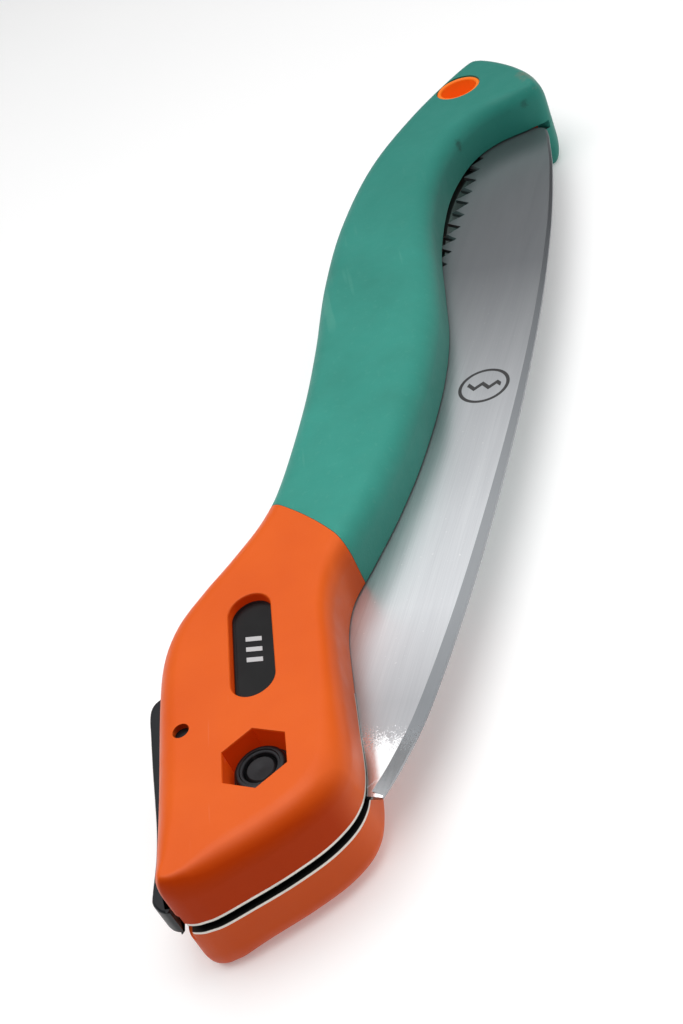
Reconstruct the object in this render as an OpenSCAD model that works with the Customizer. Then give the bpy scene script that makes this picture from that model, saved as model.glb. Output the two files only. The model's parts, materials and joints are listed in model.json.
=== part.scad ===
// Folding pruning saw, lying on its side with the blade folded into the handle.
// The two halves of the handle meet at z = 0, and the hanging hole is centred on the origin.
// +X runs from the pivot end towards the hanging hole, +Y is the side of the lock lever.

/* [Handle] */
// Thickness of the handle over both halves
handle_t = 24; // [23:0.5:26]
// Distance from the hanging hole back to the blade pivot, along the handle
pivot_back = 212; // [210:0.5:214]
// Distance from the hanging hole across to the blade pivot
pivot_across = 68; // [67:0.5:69]
// How far the rubber grip covers the hard core at the sides
grip_side = 3; // [2:0.25:3.5]
// How far the rubber grip covers the hard core on the flat faces
grip_face = 2.4; // [1.5:0.1:3]
// Half of the gap for the blade along the grip
slot_half = 1; // [0.95:0.05:1.2]

/* [Blade] */
// Thickness of the blade
blade_t = 1.36; // [1:0.02:1.36]
// Radius of the round tang
tang_r = 13.5; // [13:0.1:13.5]
// Distance between two teeth
tooth_pitch = 5.35; // [5:0.05:6]
// Depth of the cut between two teeth
tooth_depth = 3.7; // [2:0.1:4]
// Radius that the tip reaches from the pivot
tip_reach = 213.5; // [213:0.1:214]

/* [Liners] */
// Half of the gap between the two steel liners
liner_gap = 0.85; // [0.85:0.05:0.9]
// Thickness of a liner
liner_t = 0.6; // [0.5:0.05:0.8]

/* [Pivot] */
// Radius of the pivot bolt
bolt_r = 3; // [2.8:0.05:3]
// Outer radius of the bush that the blade turns on
bush_r = 4; // [3.6:0.05:4]
// Radial clearance of the blade on its bush
blade_fit = 0.03; // [0.02:0.01:0.08]
// Width over the flats of the nut and of the bolt head
nut_flats = 10; // [9.5:0.1:10.2]
// Width over the flats of the pockets for the nut and the bolt head
pocket_flats = 10.9; // [10.6:0.1:11.2]
// Height above the middle plane where the pockets end
pocket_floor = 3.1; // [2.8:0.1:3.4]

/* [Lock lever] */
// Width of the lever's cap
lever_w = 6; // [5:0.25:6]
// Radius of the lever's pin
lever_pin_r = 1.45; // [1.3:0.05:1.45]
// Clearance between the lock tooth and the rim of the tang
tooth_clear = 0.15; // [0.1:0.01:0.3]

/* [Trim] */
// Outer radius of the hanging eyelet
eyelet_r = 5.97; // [5.8:0.01:5.98]
// Radius of the hanging hole
hang_r = 4.8; // [4:0.1:5]
// Width of the badge window
window_w = 8.1; // [7:0.1:9]
// Length of the badge window
window_l = 25.2; // [22:0.2:26]
// Depth of the badge window
window_d = 2.6; // [2:0.1:3]

/* [Hidden] */
$fn = 96;
half_t = handle_t / 2;
cut = 0.5;

// Outline of the handle about the pivot: x, y, then how far the rounded edge reaches in
// and how far it reaches down. It runs along the blade side, round the tail and back.
handle_rim = [
    [-18.2, 6, 4.5, 5], [-15.8, -1.5, 5, 5], [-12.6, -8.3, 5, 5], [-8.2, -13, 5, 5],
    [-2, -14.9, 4.4, 5], [10, -15, 3.2, 4.5], [22, -15, 2.8, 4], [32, -15.3, 2.8, 4],
    [40, -17.2, 3, 4.5], [48, -21.9, 3.6, 5], [60, -28.6, 4.2, 5], [75, -35.5, 4.6, 5],
    [95, -42.6, 5, 5], [113, -46.8, 5, 5], [130, -48.6, 5, 5], [150, -50.6, 5, 5],
    [168, -54.5, 5, 5], [180, -59, 5, 5], [190, -65.5, 4.5, 5], [194.8, -73, 3.5, 4.5],
    [195.8, -82, 2.5, 4.5], [197.5, -87.4, 2.4, 5.5], [205, -88.4, 4.2, 8], [214, -86.6, 5.6, 9.5],
    [223, -82.4, 6.2, 10], [228, -78, 6, 9.5], [228.8, -73, 5.6, 8], [223.8, -66.8, 5, 6],
    [209.3, -53.2, 5, 5], [189.5, -39.3, 5, 5], [164.8, -28.9, 5, 5], [140, -22.4, 5, 5],
    [115, -18.1, 5, 5], [94, -13.7, 5, 5], [71.7, -7.4, 5, 5], [61.5, -2.9, 5, 5],
    [53.4, 3.3, 5, 5], [46.4, 9.6, 5, 5], [39.6, 14.7, 5, 5], [32, 17.4, 5, 5],
    [22, 18.2, 5, 5], [0, 18.2, 5, 5], [-12.5, 18.3, 3.6, 5], [-17.4, 17.9, 2, 4.5],
    [-19.3, 16.1, 1.9, 4.5], [-19.8, 12.2, 2.8, 5]
];
rim_steps = 2;
edge_steps = 3;

// The rubber grip begins outside this circle about a point near the pivot.
grip_circle_at = [13.7, 43.1];
grip_circle_r = 70;

// The blade is drawn along its own line of teeth, which slopes this much when folded.
blade_slope = -21.3;
// Back of the blade from the shoulder at the tang to the tip, along and across that line.
blade_back = [
    [0.8, -17.9], [8, -19.9], [20, -21.9], [45, -23.4], [75, -23.7], [105, -23.1], [135, -21.4],
    [165, -18.4], [190, -14.6], [203.8, -11.6], [211.5, -9.6], [214, -6.5], [214.3, -1]
];
tooth_line_r = 2400;
tooth_low = 9.2;
tooth_mid = 150;
first_tooth = 39;
tooth_count = 32;

// The lock lever rocks about its pin, and its tooth points at the pivot from this angle.
lever_pin_at = [11, 12.64];
lock_angle = 99;
lock_tooth_w = 3.8;
notch_w = 4.7;
notch_r = 12.1;
notch_angle = 100;
open_angle = 141;
lever_hub_r = 2.9;
lever_web_t = 1.4;

window_at = [26.3, -0.6];
hang_at = [pivot_back, -pivot_across];

// Closed spline through the points, with n steps between neighbours.
function spline_at(a, b, c, d, t) =
    (2 * b + (c - a) * t + (2 * a - 5 * b + 4 * c - d) * t * t
    + (3 * b - a - 3 * c + d) * t * t * t) / 2;
function closed_spline(p, n) = [
    for (i = [0:len(p) - 1])
        for (k = [0:n - 1])
            spline_at(p[(i + len(p) - 1) % len(p)], p[i], p[(i + 1) % len(p)],
                p[(i + 2) % len(p)], k / n)
];
// Open spline that starts at the first point and ends at the last.
function open_spline(p, n) = concat(
    [
        for (i = [0:len(p) - 2])
            for (k = [0:n - 1])
                spline_at(p[max(i - 1, 0)], p[i], p[i + 1], p[min(i + 2, len(p) - 1)], k / n)
    ],
    [p[len(p) - 1]]
);
// Unit vector at a right angle to the outline, pointing inwards.
function inward(p, i) =
    let(d = p[(i + 1) % len(p)] - p[(i + len(p) - 1) % len(p)])
    [-d[1], d[0]] / norm([d[0], d[1]]);
function flat(p) = [for (q = p) [q[0], q[1]]];
function inset(p, d) = [for (i = [0:len(p) - 1]) [p[i][0], p[i][1]] + d * inward(p, i)];
function turned(p, a) = [
    for (q = p) [q[0] * cos(a) - q[1] * sin(a), q[0] * sin(a) + q[1] * cos(a)]
];
function polar(r, a) = r * [cos(a), sin(a)];

rim = closed_spline(handle_rim, rim_steps);

// One ring of the rounded half, a quarter turn over the edge in equal steps.
function edge_ring(turn) = [
    for (i = [0:len(rim) - 1])
        let(q = flat(rim)[i] + rim[i][2] * (1 - cos(turn)) * inward(rim, i))
        [q[0], q[1], half_t - rim[i][3] * (1 - sin(turn))]
];

// Triangles across a flat ring of n points, from one long side of the outline to the other.
function across(first, n) = concat(
    [[first, first + 1, first + n - 1]],
    [for (i = [1:n / 2 - 1]) [first + i, first + i + 1, first + n - i]],
    [for (i = [1:n / 2 - 2]) [first + i + 1, first + n - i - 1, first + n - i]]
);

// Half of the handle's outer shape, flat at the middle plane and rounded at the face.
module rounded_half() {
    count = len(rim);
    rings = concat(
        [[for (q = rim) [q[0], q[1], 0]]],
        [for (k = [0:edge_steps]) edge_ring(90 * k / edge_steps)]
    );
    last = (len(rings) - 1) * count;
    polyhedron(
        points = [for (ring = rings) each ring],
        faces = concat(
            across(0, count),
            [for (f = across(last, count)) [f[2], f[1], f[0]]],
            [
                for (k = [0:len(rings) - 2])
                    for (i = [0:count - 1])
                        let(a = k * count + i, b = k * count + (i + 1) % count)
                        each [[a, a + count, b], [b, a + count, b + count]]
            ]
        )
    );
}

module at_pivot() {
    translate([-pivot_back, pivot_across, 0]) children();
}

module at(p) {
    translate([p[0], p[1], 0]) children();
}

module lower_half() {
    mirror([0, 0, 1]) children();
}

// Hexagonal prism with a corner on the x axis.
module hex_prism(flats, z0, z1) {
    translate([0, 0, z0]) cylinder(r = flats / sqrt(3), h = z1 - z0, $fn = 6);
}

module disc(r, z0, z1) {
    translate([0, 0, z0]) cylinder(r = r, h = z1 - z0);
}

module ring(r_out, r_in, z0, z1) {
    difference() {
        disc(r_out, z0, z1);
        disc(r_in, z0 - cut, z1 + cut);
    }
}

module grip_circle(z0, z1) {
    at(grip_circle_at) disc(grip_circle_r, z0, z1);
}

// Hard core under the rubber.
module core() {
    linear_extrude(half_t - grip_face) polygon(inset(rim, grip_side));
}

// Plan of the gap that the blade folds into: open at the blade side, the front and the lever.
module slot_plan() {
    blade_end = [for (a = [-14:1:3]) polar(tip_reach + 2, a)];
    polygon(concat(
        turned(blade_end, blade_slope),
        turned([[204, 13], [48, 14]], blade_slope),
        [[37, 5.5], [31.5, 8], [31.5, 40], [-40, 40], [-40, -130], [120, -130]]
    ));
}

// Plan of the channel that the lever's cap rocks in.
module lever_channel_plan() {
    polygon([
        [-30, 16.7], [-16.6, 16.8], [-13.5, 17.1], [0, 17.6], [11, 18], [31.3, 17.2],
        [31.3, 30], [-30, 30]
    ]);
}

// Plan of a liner: flush with the handle round the front, set in behind the blade side.
module liner_plan() {
    difference() {
        intersection() {
            polygon(flat(rim));
            polygon([
                [-30, -30], [17.6, -30], [17.6, -13.4], [20, -11.5], [42, -11.5], [46, -8],
                [46, 0], [38, 8], [30, 12], [30, 30], [-30, 30]
            ]);
        }
        translate([0, -0.3]) lever_channel_plan();
    }
}

module window_plan(gap) {
    straight = (window_l - window_w) / 2;
    at(window_at) {
        square([2 * straight, window_w - 2 * gap], center = true);
        at([-straight, 0]) circle(window_w / 2 - gap);
        at([straight, 0]) circle(window_w / 2 - gap);
    }
}

module hang_bore() {
    at(hang_at) disc(6, -cut, half_t + cut);
}

// The blade's gap and everything else that both halves leave free.
module half_cuts() {
    translate([0, 0, -cut]) linear_extrude(slot_half + cut) slot_plan();
    hang_bore();
}

module half_shell() {
    difference() {
        union() {
            intersection() {
                rounded_half();
                grip_circle(-cut, half_t + cut);
            }
            core();
        }
        half_cuts();
        translate([0, 0, -cut]) linear_extrude(liner_gap + liner_t + cut) liner_plan();
        translate([0, 0, -cut]) linear_extrude(lever_w / 2 + 0.3 + cut) lever_channel_plan();
        disc(bolt_r + 0.1, -cut, half_t);
        hex_prism(pocket_flats, pocket_floor, half_t + cut);
        at(lever_pin_at) disc(lever_pin_r + 0.05, -cut, half_t + cut);
        translate([0, 0, half_t - window_d]) linear_extrude(window_d + cut) window_plan(0);
    }
}

module half_grip() {
    difference() {
        intersection() {
            rounded_half();
            translate([0, 0, -cut]) linear_extrude(half_t + 2 * cut) difference() {
                at([150, -40]) square([240, 160], center = true);
                at(grip_circle_at) circle(grip_circle_r);
            }
        }
        union() {
            core();
            half_cuts();
        }
    }
}

module liner() {
    difference() {
        translate([0, 0, liner_gap]) linear_extrude(liner_t) liner_plan();
        disc(bolt_r + 0.05, 0, half_t);
        at(lever_pin_at) disc(lever_pin_r + 0.05, 0, half_t);
    }
}

module badge() {
    translate([0, 0, half_t - window_d]) linear_extrude(1) window_plan(0.1);
}

// Thin washer between the blade and a liner.
module thrust_washer() {
    ring(9, bush_r + 0.1, liner_gap - 0.15, liner_gap);
}

module left_shell() {
    color("darkorange") at_pivot() half_shell();
}

module right_shell() {
    color("darkorange") at_pivot() lower_half() half_shell();
}

module left_grip() {
    color("teal") at_pivot() half_grip();
}

module right_grip() {
    color("teal") at_pivot() lower_half() half_grip();
}

module left_liner() {
    color("silver") at_pivot() liner();
}

module right_liner() {
    color("silver") at_pivot() lower_half() liner();
}

module left_badge() {
    color("dimgray") at_pivot() badge();
}

module right_badge() {
    color("dimgray") at_pivot() lower_half() badge();
}

module hang_eyelet() {
    color("orangered") at_pivot() at(hang_at) ring(eyelet_r, hang_r, 0.2 - half_t, half_t - 0.2);
}

module pivot_bolt() {
    color("gray") at_pivot() {
        hex_prism(nut_flats, -pocket_floor - 4.5, -pocket_floor - 0.5);
        disc(bolt_r, -pocket_floor - 1, pocket_floor + 6);
    }
}

module bolt_washer() {
    color("gray") at_pivot() ring(5.3, bolt_r + 0.05, -pocket_floor - 0.5, -pocket_floor);
}

module nut_washer() {
    color("gray") at_pivot() ring(5.3, bolt_r + 0.05, pocket_floor, pocket_floor + 0.5);
}

// Lock nut: a hexagon, with a round collar that holds the locking insert.
module pivot_nut() {
    foot = pocket_floor + 0.5;
    color("gray") at_pivot() difference() {
        union() {
            hex_prism(nut_flats, foot, foot + 4.3);
            disc(4.6, foot, foot + 6);
        }
        disc(bolt_r + 0.02, foot - cut, foot + 6 + cut);
        disc(3.9, foot + 4.6, foot + 5.8);
        disc(3.5, foot + 5.7, foot + 6 + cut);
    }
}

module nut_insert() {
    foot = pocket_floor + 0.5;
    color("darkslategray") at_pivot() ring(3.88, bolt_r + 0.02, foot + 4.6, foot + 5.8);
}

module pivot_bush() {
    color("gold") at_pivot() ring(bush_r, bolt_r + 0.05, -liner_gap, liner_gap);
}

module left_washer() {
    color("khaki") at_pivot() thrust_washer();
}

module right_washer() {
    color("khaki") at_pivot() lower_half() thrust_washer();
}

module lever_pin() {
    color("gray") at_pivot() at(lever_pin_at) disc(lever_pin_r, -10.9, 10.9);
}

// Hairpin leaf between the handle and the rear arm of the lever.
module lever_spring() {
    bend = [17.2, 10.3];
    bend_r = 1.6;
    leaf = 0.5;
    color("silver") at_pivot() at(bend) translate([0, 0, -0.6]) {
        difference() {
            cylinder(r = bend_r, h = 1.2);
            translate([0, 0, -cut]) cylinder(r = bend_r - leaf, h = 1.2 + 2 * cut);
            translate([0, -5, -cut]) cube([10, 10, 1.2 + 2 * cut]);
        }
        translate([0, -bend_r, 0]) cube([14.2, leaf, 1.2]);
        translate([0, bend_r - leaf, 0]) cube([5.5, leaf, 1.2]);
    }
}

// Height of the line of teeth at x, a gentle hollow arc.
function tooth_y(x) =
    tooth_low + tooth_line_r - sqrt(tooth_line_r * tooth_line_r - pow(x - tooth_mid, 2));

// Points and gullets from the tip back to the heel.
function tooth_points() = [
    for (i = [tooth_count - 1:-1:0])
        let(x = first_tooth + i * tooth_pitch)
        each [
            [x + 0.1, tooth_y(x)],
            [x - 0.2, tooth_y(x)],
            [x - tooth_pitch * 0.5 + 0.25, tooth_y(x) - tooth_depth],
            [x - tooth_pitch * 0.5 - 0.25, tooth_y(x) - tooth_depth]
        ]
];

// Notch for the lock tooth, square to the rim of the tang.
module notch_plan(a) {
    rotate(a) translate([notch_r, -notch_w / 2]) square([10, notch_w]);
}

module blade_plan() {
    difference() {
        union() {
            circle(tang_r);
            rotate(blade_slope) polygon(concat(
                [[0.4, -8]], open_spline(blade_back, 6), tooth_points(), [[30, 6.4], [10, 8.4]]
            ));
        }
        notch_plan(notch_angle);
        notch_plan(notch_angle + open_angle);
    }
}

module blade() {
    color("lightgray") at_pivot() difference() {
        translate([0, 0, -blade_t / 2]) linear_extrude(blade_t) blade_plan();
        disc(bush_r + blade_fit, -half_t, half_t);
    }
}

// Side view of the lever's cap, from its heel over the thumb rest to the front, where it
// wraps round the corner of the handle.
module lever_cap_plan() {
    outer = open_spline([
        [30.2, 19], [30.2, 20.6], [29, 22.2], [26.6, 22.8], [22, 22.6], [13.5, 22.1],
        [6.6, 21.6], [0, 21.2], [-6.2, 21.2], [-12.4, 21.7], [-14.4, 21.7], [-16, 20.8],
        [-16.9, 19.7], [-17.2, 18.7]
    ], 3);
    polygon(concat(outer, [[-16.3, 18.9], [-14.5, 19.2], [30, 19]]));
}

// The web in the slot: hub, lock tooth and rear arm.
module lever_web_plan() {
    tip = tang_r + tooth_clear;
    tooth_half = lock_tooth_w / 2;
    at(lever_pin_at) circle(lever_hub_r);
    rotate(lock_angle) polygon([
        [tip, 0], [tip + 0.12, tooth_half], [20.3, tooth_half], [20.3, -tooth_half],
        [tip + 0.12, -tooth_half]
    ]);
    polygon([
        [-2.5, 16.5], [1, 15.3], [4.5, 15.1], [9.4, 15.1], [12.8, 10.4], [18, 13.6], [24, 14.4],
        [27, 17], [27.5, 20], [-4.9, 20.4], [-4.7, 18]
    ]);
}

module lock_lever() {
    web = lever_web_t / 2;
    color("black") at_pivot() difference() {
        union() {
            translate([0, 0, -lever_w / 2]) linear_extrude(lever_w) lever_cap_plan();
            translate([0, 0, -web]) linear_extrude(2 * web) lever_web_plan();
        }
        at(lever_pin_at) disc(lever_pin_r + 0.05, -half_t, half_t);
    }
}

left_shell();
right_shell();
left_grip();
right_grip();
left_liner();
right_liner();
left_badge();
right_badge();
hang_eyelet();
pivot_bolt();
bolt_washer();
nut_washer();
pivot_nut();
nut_insert();
pivot_bush();
left_washer();
right_washer();
lever_pin();
lever_spring();
blade();
lock_lever();
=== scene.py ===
import json
import math

import bmesh
import bpy
from mathutils import Matrix, Vector


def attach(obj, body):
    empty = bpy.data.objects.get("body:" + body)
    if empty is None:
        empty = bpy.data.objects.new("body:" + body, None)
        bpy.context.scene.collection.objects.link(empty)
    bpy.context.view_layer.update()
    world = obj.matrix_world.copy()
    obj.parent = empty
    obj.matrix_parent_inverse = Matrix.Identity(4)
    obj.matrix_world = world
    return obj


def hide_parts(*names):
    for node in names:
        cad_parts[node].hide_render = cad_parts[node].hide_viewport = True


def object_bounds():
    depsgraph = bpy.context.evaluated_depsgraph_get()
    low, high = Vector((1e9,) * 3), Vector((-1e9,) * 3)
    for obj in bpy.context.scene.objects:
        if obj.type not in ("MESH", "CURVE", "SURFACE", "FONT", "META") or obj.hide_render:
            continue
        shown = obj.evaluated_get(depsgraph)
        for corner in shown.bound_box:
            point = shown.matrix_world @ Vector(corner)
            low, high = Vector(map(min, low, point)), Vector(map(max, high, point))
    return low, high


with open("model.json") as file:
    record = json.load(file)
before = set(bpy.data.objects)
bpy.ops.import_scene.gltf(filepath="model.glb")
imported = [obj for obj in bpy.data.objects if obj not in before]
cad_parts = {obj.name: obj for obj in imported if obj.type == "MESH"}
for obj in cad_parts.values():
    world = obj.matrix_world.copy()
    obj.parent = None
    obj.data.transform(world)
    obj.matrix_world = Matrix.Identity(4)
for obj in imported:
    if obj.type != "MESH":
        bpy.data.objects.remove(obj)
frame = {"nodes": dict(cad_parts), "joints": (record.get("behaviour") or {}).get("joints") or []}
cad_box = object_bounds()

# Lengths are in millimetres about the pivot until place() turns them into metres in the row frame.
MM = 0.001
JOINT_AT = {j["name"]: Vector(j["pos_m"]) for j in frame["joints"]}
PIVOT = JOINT_AT["blade_fold"]
LEVER_PIN = (JOINT_AT["lever_rock"] - PIVOT) / MM
HANG = -PIVOT / MM
SCENE = bpy.context.scene

HALF_T = 12.0
SLOT_HALF = 1.0
BLADE_HALF = 0.68
LINER_Z = (0.85, 1.45)
POCKET_FLOOR = 3.1
WINDOW_AT = (26.3, -0.6)
WINDOW_SIZE = (25.2, 8.1)
WINDOW_DEPTH = 2.6
GRIP_CIRCLE = (13.7, 43.1)
GRIP_RADIUS = 70.0
CORE_INSET = 3.0
CORE_TOP = 9.6
BORE_R = 6.0
BOLT_R = 3.0
BUSH_HOLE_R = 4.03
NUT_FLATS = 10
POCKET_FLATS = 10.9
WASHER_R = 5.3
WASHER_T = 0.5
PIN_HOLE_R = 1.5
HUB_R = 2.9

# Handle outline about the pivot: x, y, how far the rounded edge reaches in, how far down.
HANDLE_RIM = [
    (-18.2, 6, 4.5, 5), (-15.8, -1.5, 5, 5), (-12.6, -8.3, 5, 5), (-8.2, -13, 5, 5),
    (-2, -14.9, 4.4, 5), (10, -15, 3.2, 4.5), (22, -15, 2.8, 4), (32, -15.3, 2.8, 4),
    (40, -17.2, 3, 4.5), (48, -21.9, 3.6, 5), (60, -28.6, 4.2, 5), (75, -35.5, 4.6, 5),
    (95, -42.6, 5, 5), (113, -46.8, 5, 5), (130, -48.6, 5, 5), (150, -50.6, 5, 5),
    (168, -54.5, 5, 5), (180, -59, 5, 5), (190, -65.5, 4.5, 5), (194.8, -73, 3.5, 4.5),
    (195.8, -82, 2.5, 4.5), (197.5, -87.4, 2.4, 5.5), (205, -88.4, 4.2, 8), (214, -86.6, 5.6, 9.5),
    (223, -82.4, 6.2, 10), (228, -78, 6, 9.5), (228.8, -73, 5.6, 8), (223.8, -66.8, 5, 6),
    (209.3, -53.2, 5, 5), (189.5, -39.3, 5, 5), (164.8, -28.9, 5, 5), (140, -22.4, 5, 5),
    (115, -18.1, 5, 5), (94, -13.7, 5, 5), (71.7, -7.4, 5, 5), (61.5, -2.9, 5, 5),
    (53.4, 3.3, 5, 5), (46.4, 9.6, 5, 5), (39.6, 14.7, 5, 5), (32, 17.4, 5, 5),
    (22, 18.2, 5, 5), (0, 18.2, 5, 5), (-12.5, 18.3, 3.6, 5), (-17.4, 17.9, 2, 4.5),
    (-19.3, 16.1, 1.9, 4.5), (-19.8, 12.2, 2.8, 5),
]
RIM_STEPS = 9
EDGE_STEPS = 10
SEAM_CHAMFER = 0.12

BLADE_SLOPE = math.radians(-21.3)
TIP_REACH = 213.5
BLADE_BACK = [
    (0.8, -17.9), (8, -19.9), (20, -21.9), (45, -23.4), (75, -23.7), (105, -23.1), (135, -21.4),
    (165, -18.4), (190, -14.6), (203.8, -11.6), (211.2, -9.6), (213.2, -7), (213.3, -1),
]
TANG_R = 13.5
NOTCH_R = 12.1
NOTCH_W = 4.7
NOTCH_ANGLES = (100, 241)
TOOTH_PITCH = 5.35
TOOTH_DEPTH = 3.7
TOOTH_COUNT = 32
FIRST_TOOTH = 39
TOOTH_ARC_R = 2400
TOOTH_ARC_LOW = (150, 9.2)
# The tang's rim about the pivot, in degrees: from the teeth's side round to the blade's back.
TANG_RIM = (9.8, 360 - 21.3 - 86)


# ---------------------------------------------------------------- plan curves

def spline_point(a, b, c, d, t):
    return tuple(
        (2 * q + (r - p) * t + (2 * p - 5 * q + 4 * r - s) * t * t
         + (3 * q - p - 3 * r + s) * t ** 3) / 2
        for p, q, r, s in zip(a, b, c, d)
    )


def closed_spline(points, steps):
    n = len(points)
    return [
        spline_point(points[i - 1], points[i], points[(i + 1) % n], points[(i + 2) % n], k / steps)
        for i in range(n)
        for k in range(steps)
    ]


def open_spline(points, steps):
    last = len(points) - 1
    made = [
        spline_point(points[max(i - 1, 0)], points[i], points[i + 1],
                     points[min(i + 2, last)], k / steps)
        for i in range(last)
        for k in range(steps)
    ]
    return made + [points[last]]


def arc(centre, radius, start, end, steps):
    """Points on an arc, angles in degrees, both ends included."""
    angles = [math.radians(start + (end - start) * k / steps) for k in range(steps + 1)]
    return [(centre[0] + radius * math.cos(a), centre[1] + radius * math.sin(a)) for a in angles]


def circle(centre, radius, steps):
    return arc(centre, radius, 0, 360 * (steps - 1) / steps, steps - 1)


def hexagon(across_flats, grow=0.0):
    return circle((0, 0), across_flats / math.sqrt(3) + grow, 6)


def turned(points, angle):
    c, s = math.cos(angle), math.sin(angle)
    return [(x * c - y * s, x * s + y * c) for x, y in points]


def shifted(points, by):
    return [(x + by[0], y + by[1]) for x, y in points]


def inward_normals(points):
    n = len(points)
    normals = []
    for i in range(n):
        dx = points[(i + 1) % n][0] - points[i - 1][0]
        dy = points[(i + 1) % n][1] - points[i - 1][1]
        size = math.hypot(dx, dy) or 1.0
        normals.append((-dy / size, dx / size))
    return normals


def inset(points, distance):
    """Each point moved inwards by distance, one number or one for each point."""
    if not hasattr(distance, "__len__"):
        distance = [distance] * len(points)
    return [
        (p[0] + d * m[0], p[1] + d * m[1])
        for p, m, d in zip(points, inward_normals(points), distance)
    ]


def mitred(points, distance):
    """Each point moved so that both its edges move inwards by its own distance."""
    n = len(points)
    made = []
    for i in range(n):
        edges = []
        for a, b in ((points[i - 1], points[i]), (points[i], points[(i + 1) % n])):
            size = math.hypot(b[0] - a[0], b[1] - a[1]) or 1.0
            edges.append((-(b[1] - a[1]) / size, (b[0] - a[0]) / size))
        (ax, ay), (bx, by) = edges
        share = distance[i] / max(1 + ax * bx + ay * by, 0.35)
        made.append((points[i][0] + (ax + bx) * share, points[i][1] + (ay + by) * share))
    return made


def ring(points, z):
    return [(x, y, z) for x, y in points]


# ---------------------------------------------------------------- meshes

def place(x, y, z):
    return PIVOT + Vector((x, y, z)) * MM


def mesh_object(name, verts, faces):
    mesh = bpy.data.meshes.new(name)
    mesh.from_pydata([place(*v) for v in verts], [], faces)
    mesh.update()
    obj = bpy.data.objects.new(name, mesh)
    SCENE.collection.objects.link(obj)
    return obj


def loft(name, rings):
    """Closed solid through rings of equal length, listed from the lowest up, each anticlockwise."""
    n = len(rings[0])
    top = (len(rings) - 1) * n
    faces = [list(range(n - 1, -1, -1)), [top + i for i in range(n)]]
    for k in range(len(rings) - 1):
        for i in range(n):
            a, b = k * n + i, k * n + (i + 1) % n
            faces.append([a, b, b + n, a + n])
    return mesh_object(name, [p for r in rings for p in r], faces)


def prism(name, points, z0, z1):
    return loft(name, [ring(points, z0), ring(points, z1)])


def flared_prism(name, points, z0, z1, flare):
    """Cutter whose last bit opens out, so that it leaves a softened edge at z1."""
    steps = ((0.0, 1.0), (0.13, 0.5), (0.5, 0.13), (1.0, 0.0))
    rings = [ring(points, z0)]
    for out, down in steps:
        rings.append(ring(inset(points, -flare * out), z1 - flare * down))
    rings.append(ring(inset(points, -flare * 1.0), z1 + 1.0))
    return loft(name, rings)


def lathe(name, centre, profile, steps=96, ring_shaped=True):
    """Solid turned about a line along z, from a profile of (radius, z).

    The profile is a closed loop, or runs from the axis to the axis if not ring_shaped.
    """
    verts, faces = [], []
    n = len(profile)
    for k in range(steps):
        a = 2 * math.pi * k / steps
        verts += [(centre[0] + r * math.cos(a), centre[1] + r * math.sin(a), z) for r, z in profile]
    for k in range(steps):
        a, b = k * n, ((k + 1) % steps) * n
        for i in range(n if ring_shaped else n - 1):
            j = (i + 1) % n
            faces.append([a + i, b + i, b + j, a + j])
    if not ring_shaped:
        faces.append([k * n + n - 1 for k in range(steps)])
        faces.append([k * n for k in range(steps - 1, -1, -1)])
    return mesh_object(name, verts, faces)


def evaluated_mesh(obj):
    depsgraph = bpy.context.evaluated_depsgraph_get()
    return bpy.data.meshes.new_from_object(obj.evaluated_get(depsgraph))


def clean(obj):
    """Merges points that a cut left closer than a few thousandths of a millimetre."""
    bm = bmesh.new()
    bm.from_mesh(obj.data)
    bmesh.ops.remove_doubles(bm, verts=bm.verts, dist=0.004 * MM)
    bmesh.ops.dissolve_degenerate(bm, edges=bm.edges, dist=0.002 * MM)
    bm.to_mesh(obj.data)
    bm.free()


def boolean(obj, cutter, operation="DIFFERENCE", keep=False):
    modifier = obj.modifiers.new("cut", "BOOLEAN")
    modifier.object = cutter
    modifier.operation = operation
    modifier.solver = "EXACT"
    made = evaluated_mesh(obj)
    obj.modifiers.clear()
    old = obj.data
    obj.data = made
    bpy.data.meshes.remove(old)
    if not keep:
        bpy.data.objects.remove(cutter)
    clean(obj)
    return obj


def joined(name, objects):
    """One object that holds the meshes of several."""
    bm = bmesh.new()
    for o in objects:
        bm.from_mesh(o.data)
    mesh = bpy.data.meshes.new(name)
    bm.to_mesh(mesh)
    bm.free()
    for o in objects:
        bpy.data.objects.remove(o)
    obj = bpy.data.objects.new(name, mesh)
    SCENE.collection.objects.link(obj)
    return obj


def duplicate(obj, name):
    copy = obj.copy()
    copy.data = obj.data.copy()
    copy.name = name
    SCENE.collection.objects.link(copy)
    return copy


def mirrored(obj, name):
    """Copy of a piece on the other side of the middle plane."""
    copy = duplicate(obj, name)
    bm = bmesh.new()
    bm.from_mesh(copy.data)
    for v in bm.verts:
        v.co.z = -v.co.z
    bmesh.ops.reverse_faces(bm, faces=bm.faces)
    bm.to_mesh(copy.data)
    bm.free()
    return copy


def shade(obj, angle=32):
    """Smooth shading that stays crisp at edges and flat across flats."""
    for polygon in obj.data.polygons:
        polygon.use_smooth = True
    obj.data.set_sharp_from_angle(angle=math.radians(angle))
    modifier = obj.modifiers.new("normals", "WEIGHTED_NORMAL")
    modifier.keep_sharp = True
    modifier.weight = 50
    return obj


def dress(obj, material, body, slot, *nodes):
    """Gives a piece its material and its body, and hides the CAD nodes it stands for. The slot is not
    used.
    """
    obj.data.materials.clear()
    obj.data.materials.append(material)
    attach(obj, body)
    if nodes:
        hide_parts(*nodes)
    return obj


# ---------------------------------------------------------------- materials

def link_or_set(tree, socket, value):
    if isinstance(value, bpy.types.NodeSocket):
        tree.links.new(value, socket)
    else:
        socket.default_value = value


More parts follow.
